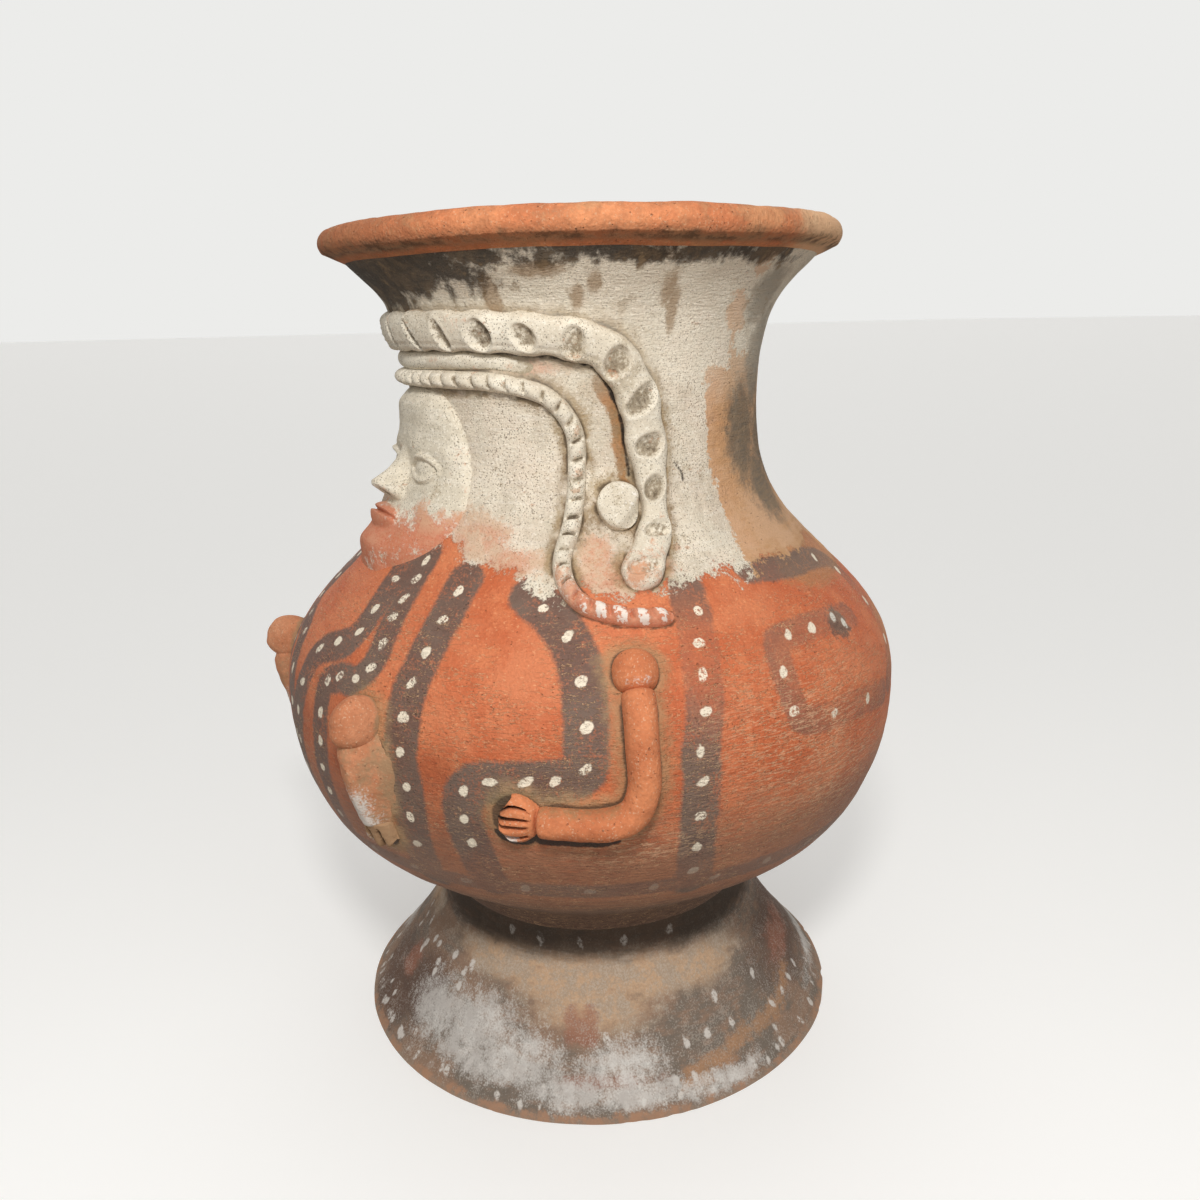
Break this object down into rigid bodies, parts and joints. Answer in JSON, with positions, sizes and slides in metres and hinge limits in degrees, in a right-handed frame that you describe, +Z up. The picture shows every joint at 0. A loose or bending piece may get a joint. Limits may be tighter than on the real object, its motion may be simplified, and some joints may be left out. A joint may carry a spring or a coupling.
{
  "type": "effigy urn",
  "caption": "Footed round-bellied clay urn with a flared mouth: face, headband and ears applied to its neck, bent arms and drawn-up legs to its belly.",
  "frame": {"origin": "centre of the foot's base ring, on the surface that the urn stands on", "axes": "+Z up along the vessel's axis, the figure faces -Y, its left side is towards +X"},
  "size_m": [0.3008, 0.2936, 0.3799],
  "materials": {
    "foot_slip": "matte",
    "belly_slip": "satin",
    "white_slip": "matte",
    "orange_clay": "matte"
  },
  "bodies": {
    "root": {"pedestal_foot": "foot_slip", "belly_bowl": "belly_slip", "belly_lower": "belly_slip", "belly_upper": "belly_slip", "belly_shoulder": "belly_slip", "neck_lower": "white_slip", "neck_upper": "white_slip", "flared_rim": "white_slip", "face_plate": "white_slip", "nose": "white_slip", "left_eyeball": "white_slip", "right_eyeball": "white_slip", "left_upper_lid": "white_slip", "right_upper_lid": "white_slip", "left_lower_lid": "white_slip", "right_lower_lid": "white_slip", "hairline_fillet": "white_slip", "brow_ledge": "white_slip", "headband": "white_slip", "left_ear_disc": "white_slip", "right_ear_disc": "white_slip", "left_foot": "white_slip", "right_foot": "white_slip", "rolled_lip": "orange_clay", "upper_lip": "orange_clay", "lower_lip": "orange_clay", "left_shoulder_knob": "orange_clay", "right_shoulder_knob": "orange_clay", "left_arm": "orange_clay", "right_arm": "orange_clay", "left_hand": "orange_clay", "right_hand": "orange_clay", "left_knee": "orange_clay", "right_knee": "orange_clay", "left_shin": "orange_clay", "right_shin": "orange_clay"}
  },
  "joints": []
}
